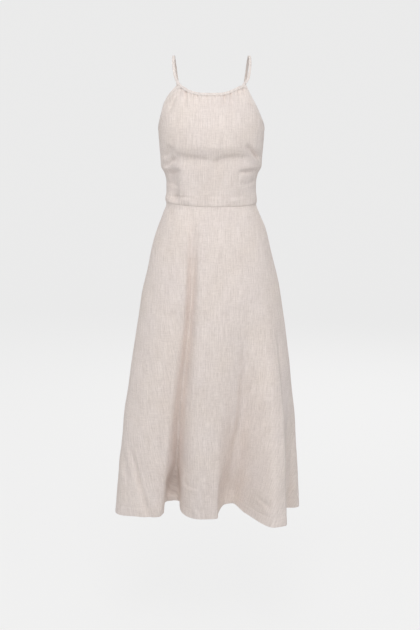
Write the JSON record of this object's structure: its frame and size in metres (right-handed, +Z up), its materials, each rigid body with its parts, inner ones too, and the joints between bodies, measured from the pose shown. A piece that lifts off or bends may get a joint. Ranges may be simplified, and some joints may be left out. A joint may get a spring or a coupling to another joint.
{
  "type": "sundress",
  "caption": "Hollow worn midi sundress in oat linen: gathered round neck on thin straps, darted bodice, waist seam, flared folded skirt, zip at the centre back.",
  "frame": {"origin": "midway between the crowns of the two straps, where the shoulders carry the dress", "axes": "+Z up, the wearer faces -Y, +X is on the right seen from the front"},
  "size_m": [0.4973, 0.3743, 1.2053],
  "materials": {
    "linen": "plain-woven oat linen, matt, with fine slubs",
    "linen_edge": "the same linen, turned and stitched",
    "zip_tape": "fine twill tape with a nylon coil",
    "zip_metal": "oat enamel over die-cast metal"
  },
  "bodies": {
    "dress": {"bodice_front": "linen", "bodice_back_left": "linen", "bodice_back_right": "linen", "neck_casing": "linen_edge", "armhole_edge_left": "linen_edge", "armhole_edge_right": "linen_edge", "back_edge_left": "linen_edge", "back_edge_right": "linen_edge", "strap_left": "linen_edge", "strap_right": "linen_edge", "skirt_front": "linen", "skirt_back_left": "linen", "skirt_back_right": "linen", "zip_tape": "zip_tape", "zip_slider": "zip_metal"},
    "pull_tab": {"zip_pull": "zip_metal"}
  },
  "joints": [
    {"name": "pull_tab_swing", "type": "hinge", "parent": "dress", "child": "pull_tab", "pos_m": [0, 0.0989, -0.22], "axis": [1, 0, 0], "range_deg": [0, 170]}
  ]
}
